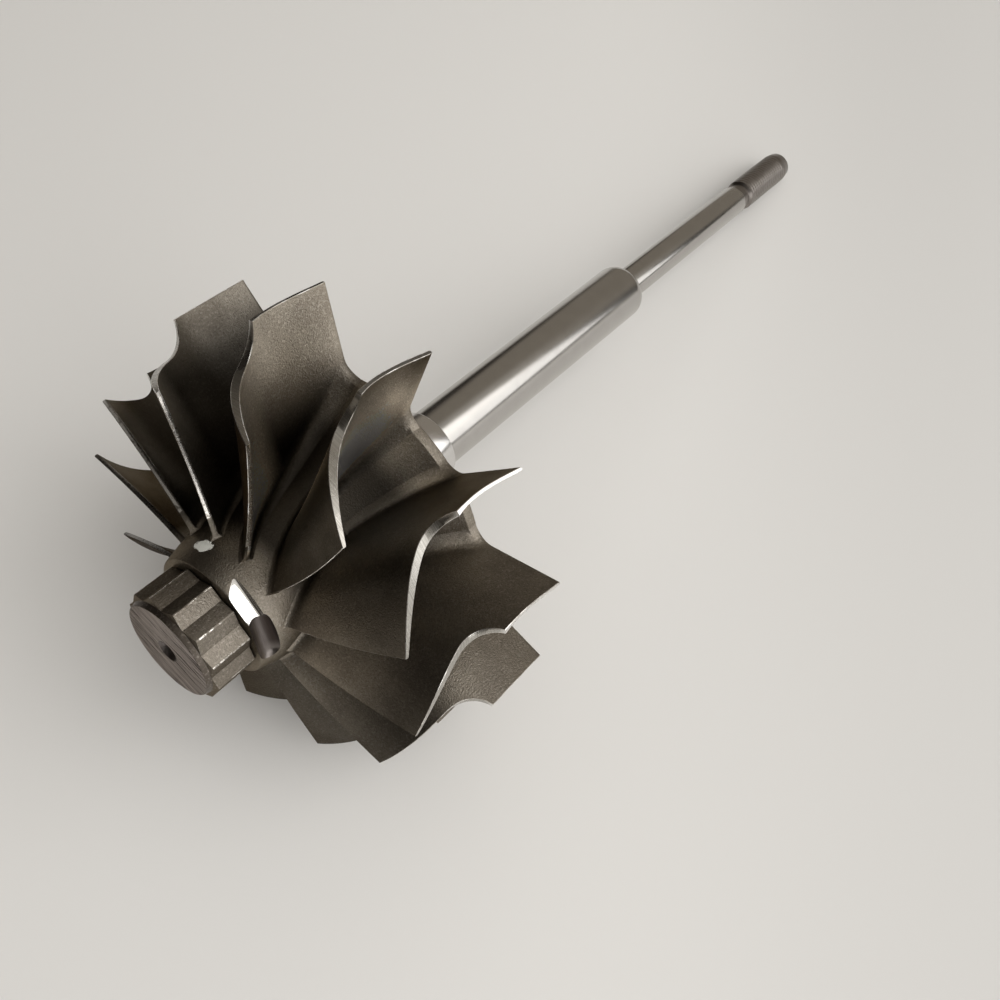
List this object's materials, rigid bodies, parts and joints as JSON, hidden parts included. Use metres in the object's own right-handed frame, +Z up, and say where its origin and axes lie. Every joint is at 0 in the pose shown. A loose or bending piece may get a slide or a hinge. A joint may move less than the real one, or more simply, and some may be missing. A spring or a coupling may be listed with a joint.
{
  "type": "turbocharger shaft and wheel",
  "caption": "Cast radial-inflow turbine wheel with twisted blades and a double-hexagon nose drive, welded to a stepped ground steel shaft with a threaded end.",
  "frame": {"origin": "on the table it lies on, under the middle of its bounding box", "axes": "+Z up; the shaft's threaded end towards +X and the wheel's nose towards -X, the rotor lying at rest on the rear corners of two neighbouring blades and on the shaft's end"},
  "size_m": [0.212, 0.0886, 0.0893],
  "materials": {
    "cast_alloy": "sand-blasted investment casting, heat-browned",
    "ground_steel": "ground and polished steel",
    "thread_steel": "rolled thread, duller steel"
  },
  "bodies": {
    "root": {"drive_boss": "cast_alloy", "nose_collar": "cast_alloy", "wheel_hub": "cast_alloy", "weld_land": "ground_steel", "seal_collar": "ground_steel", "bearing_journal": "ground_steel", "compressor_stub": "ground_steel", "thread_relief": "thread_steel", "threaded_end": "thread_steel", "blade_01": "cast_alloy", "blade_02": "cast_alloy", "blade_03": "cast_alloy", "blade_04": "cast_alloy", "blade_05": "cast_alloy", "blade_06": "cast_alloy", "blade_07": "cast_alloy", "blade_08": "cast_alloy", "blade_09": "cast_alloy", "blade_10": "cast_alloy", "blade_11": "cast_alloy", "blade_12": "cast_alloy"}
  },
  "joints": []
}
